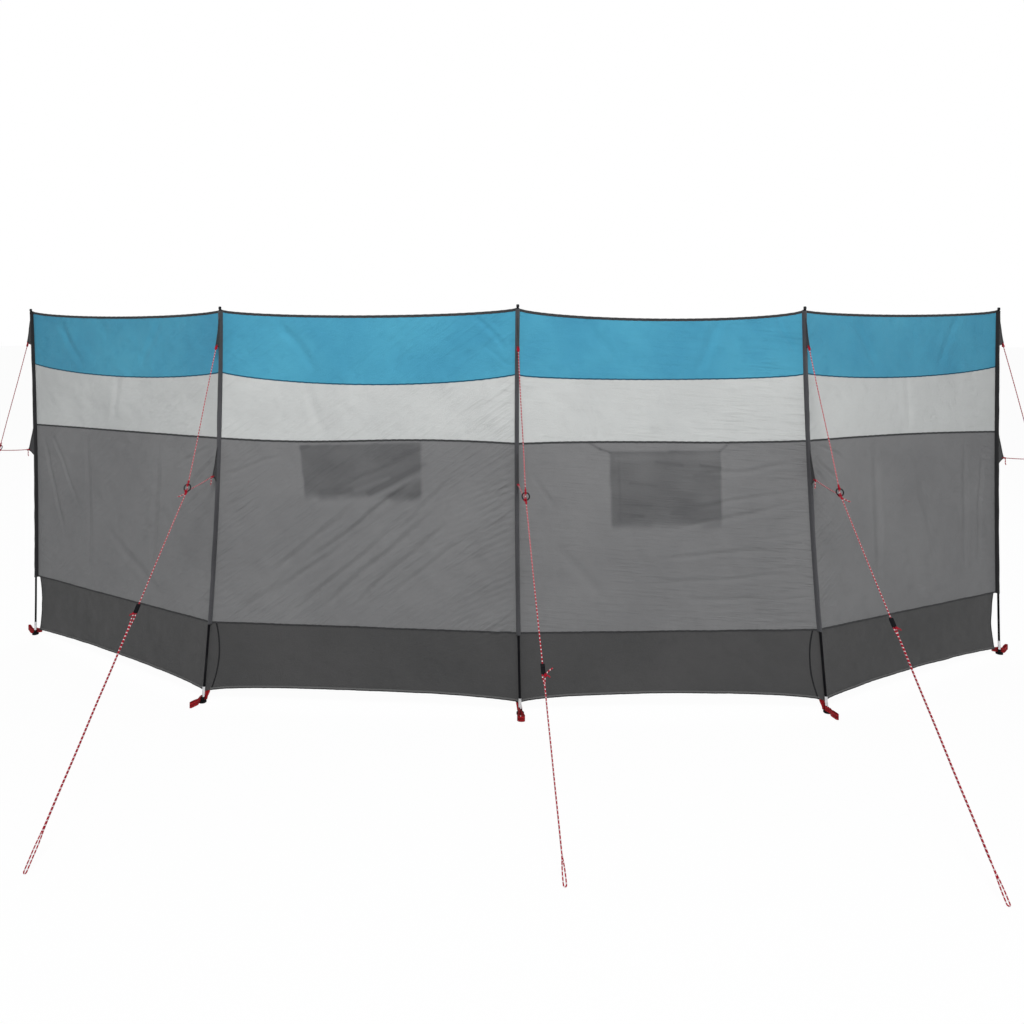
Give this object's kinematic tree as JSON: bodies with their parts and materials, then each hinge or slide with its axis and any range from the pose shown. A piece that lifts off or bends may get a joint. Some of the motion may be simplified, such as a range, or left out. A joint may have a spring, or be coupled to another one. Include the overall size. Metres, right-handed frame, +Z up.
{
  "type": "beach windbreak",
  "caption": "Pole windbreak of coloured cloth bands on bowed poles, staked in a shallow arc and held by guy lines with rings and slide runners.",
  "frame": {"origin": "on the ground at the middle of the middle pole's foot disc", "axes": "+Z up, +X along the row to its right end as seen from the guyed side, +Y behind the cloth, away from the three front guys"},
  "size_m": [6.0997, 1.9229, 1.5],
  "materials": {
    "pole": "glossy black resin over glass fibre",
    "cap": "moulded black plastic",
    "ferrule": "bright drawn metal",
    "foot": "moulded black plastic",
    "sleeve": "dark grey woven polyester",
    "blue_cloth": "blue woven polyester",
    "pale_cloth": "pale grey woven polyester",
    "grey_cloth": "mid grey woven polyester",
    "flap_cloth": "dark grey woven polyester",
    "binding": "dark grey woven tape",
    "pocket_cloth": "grey woven polyester",
    "tab_cloth": "dark grey cloth with a bound edge",
    "cord": "red braided cord with pale tracer flecks",
    "webbing": "red woven webbing",
    "ring": "black moulded ring",
    "runner": "black moulded slider"
  },
  "bodies": {
    "root": {"pole_1": "pole", "pole_2": "pole", "pole_3": "pole", "pole_4": "pole", "pole_5": "pole", "sleeve_1": "sleeve", "sleeve_2": "sleeve", "sleeve_3": "sleeve", "sleeve_4": "sleeve", "sleeve_5": "sleeve", "blue_band_1": "blue_cloth", "blue_band_2": "blue_cloth", "blue_band_3": "blue_cloth", "blue_band_4": "blue_cloth", "pale_band_1": "pale_cloth", "pale_band_2": "pale_cloth", "pale_band_3": "pale_cloth", "pale_band_4": "pale_cloth", "wall_panel_1": "grey_cloth", "wall_panel_2": "grey_cloth", "wall_panel_3": "grey_cloth", "wall_panel_4": "grey_cloth", "ground_flap_1": "flap_cloth", "ground_flap_2": "flap_cloth", "ground_flap_3": "flap_cloth", "ground_flap_4": "flap_cloth", "top_hem": "binding", "rear_pockets": "pocket_cloth", "guy_line_1": "cord", "guy_line_2": "cord", "guy_line_3": "cord", "guy_line_4": "cord", "guy_line_5": "cord", "foot_strap_1": "webbing", "foot_strap_2": "webbing", "foot_strap_3": "webbing", "foot_strap_4": "webbing", "foot_strap_5": "webbing", "pole_caps": "cap", "pole_ferrules": "ferrule", "pole_feet": "foot", "upper_guy_tabs": "tab_cloth", "lower_guy_tabs": "tab_cloth", "guy_rings": "ring", "guy_runners": "runner"}
  },
  "joints": []
}
